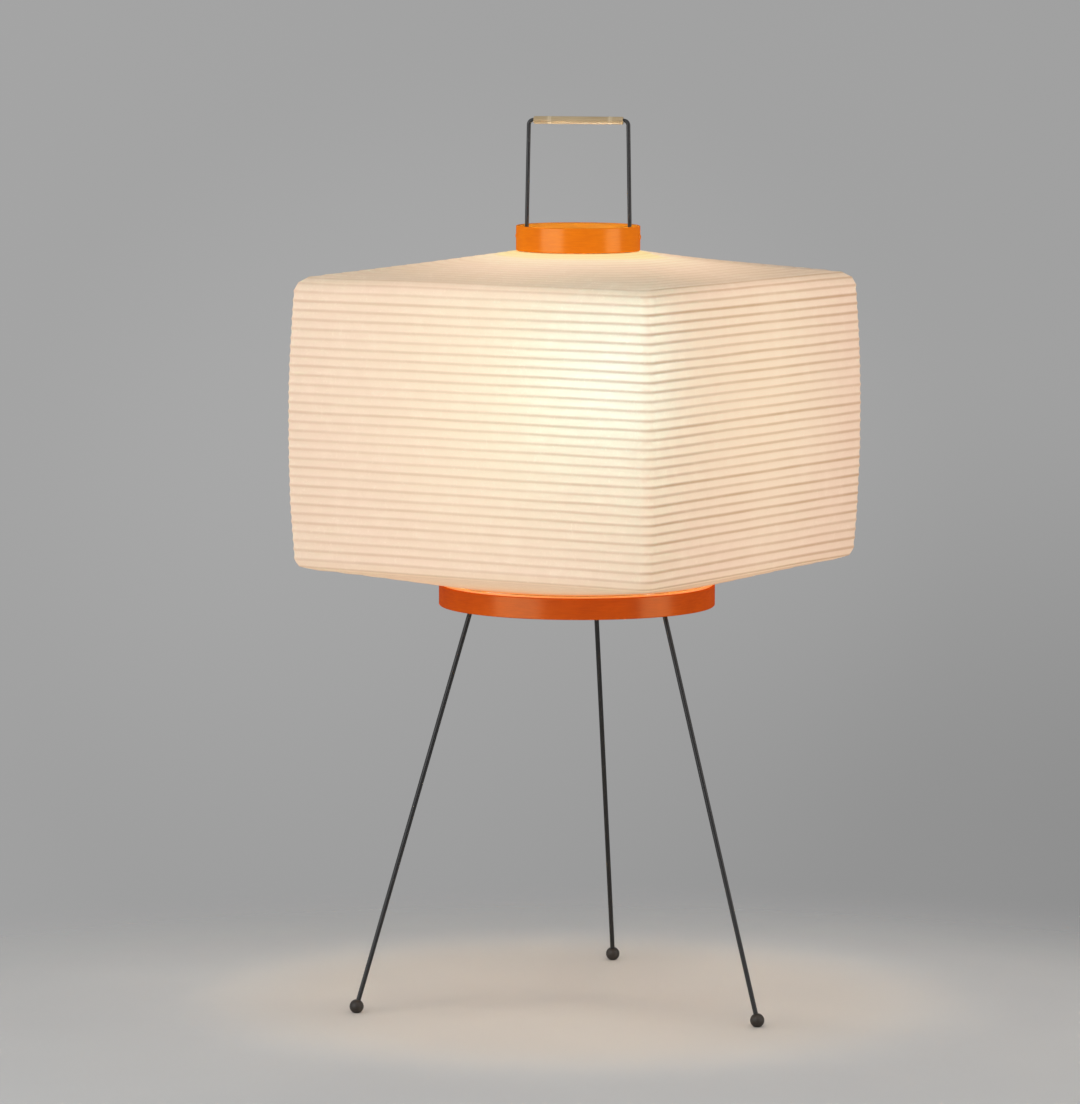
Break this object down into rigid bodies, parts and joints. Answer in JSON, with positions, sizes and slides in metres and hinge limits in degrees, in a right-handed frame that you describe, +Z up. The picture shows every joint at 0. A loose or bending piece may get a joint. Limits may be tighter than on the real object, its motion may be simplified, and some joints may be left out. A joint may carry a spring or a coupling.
{
  "type": "table lamp",
  "caption": "Square ribbed paper lantern shade between orange hoops on a wire tripod with ball feet, with a bulb inside and a wire carrying handle with a bamboo grip.",
  "frame": {"origin": "on the floor, under the lamp's centre line", "axes": "+Z up; +X to the viewer's right along the handle; +Y to the back, where the third leg points"},
  "size_m": [0.4598, 0.4598, 0.7537],
  "materials": {
    "black_wire": "satin black enamel on steel wire",
    "black_sheet": "satin black enamel on sheet steel",
    "orange_lacquer": "glossy orange lacquer",
    "ball_foot": "matte dark brown",
    "zinc_steel": "bright zinc plate",
    "phenolic": "moulded, satin",
    "porcelain": "unglazed white porcelain",
    "contact_brass": "plain brass",
    "nickel": "nickel plate",
    "black_insulator": "black vitreous insulator",
    "opal_glass": "opal, lit from within",
    "lantern_paper": "thin matte fibrous paper over ribs, translucent",
    "rib_bamboo": "split bamboo",
    "bamboo": "satin bamboo tube"
  },
  "bodies": {
    "stand": {"leg_left": "black_wire", "leg_right": "black_wire", "leg_back": "black_wire", "foot_left": "ball_foot", "foot_right": "ball_foot", "foot_back": "ball_foot", "base_hoop": "orange_lacquer", "spider": "black_sheet", "leg_sockets": "black_sheet", "lamp_bridge": "black_sheet", "stem_tube": "zinc_steel", "stem_nuts": "zinc_steel", "holder_cap": "phenolic", "holder_shell": "phenolic", "holder_core": "porcelain", "screw_shell": "contact_brass", "centre_contact": "contact_brass", "terminal_screws": "contact_brass", "carry_frame": "black_wire", "frame_nuts": "zinc_steel", "stop_collars": "black_wire"},
    "handle_grip": {"grip": "bamboo"},
    "bulb": {"bulb_glass": "opal_glass", "bulb_cap": "nickel", "bulb_insulator": "black_insulator", "bulb_contact": "nickel"},
    "shade": {"belly_front": "lantern_paper", "belly_right": "lantern_paper", "belly_back": "lantern_paper", "belly_left": "lantern_paper", "wall_front": "lantern_paper", "wall_right": "lantern_paper", "wall_back": "lantern_paper", "wall_left": "lantern_paper", "crown_front": "lantern_paper", "crown_right": "lantern_paper", "crown_back": "lantern_paper", "crown_left": "lantern_paper", "neck_band": "lantern_paper", "shade_ribs": "rib_bamboo", "foot_ring": "zinc_steel", "top_hoop": "orange_lacquer", "hoop_ears": "black_sheet", "ear_rivets": "orange_lacquer"}
  },
  "joints": [
    {"name": "shade_lift", "type": "slide", "parent": "stand", "child": "shade", "axis": [0, 0, 1], "range_m": [0, 0.41]},
    {"name": "bulb_out", "type": "slide", "parent": "stand", "child": "bulb", "axis": [0, 0, 1], "range_m": [0, 0.06]},
    {"name": "grip_turn", "type": "hinge", "parent": "stand", "child": "handle_grip", "pos_m": [0, 0, 0.75019], "axis": [1, 0, 0], "continuous": true}
  ]
}
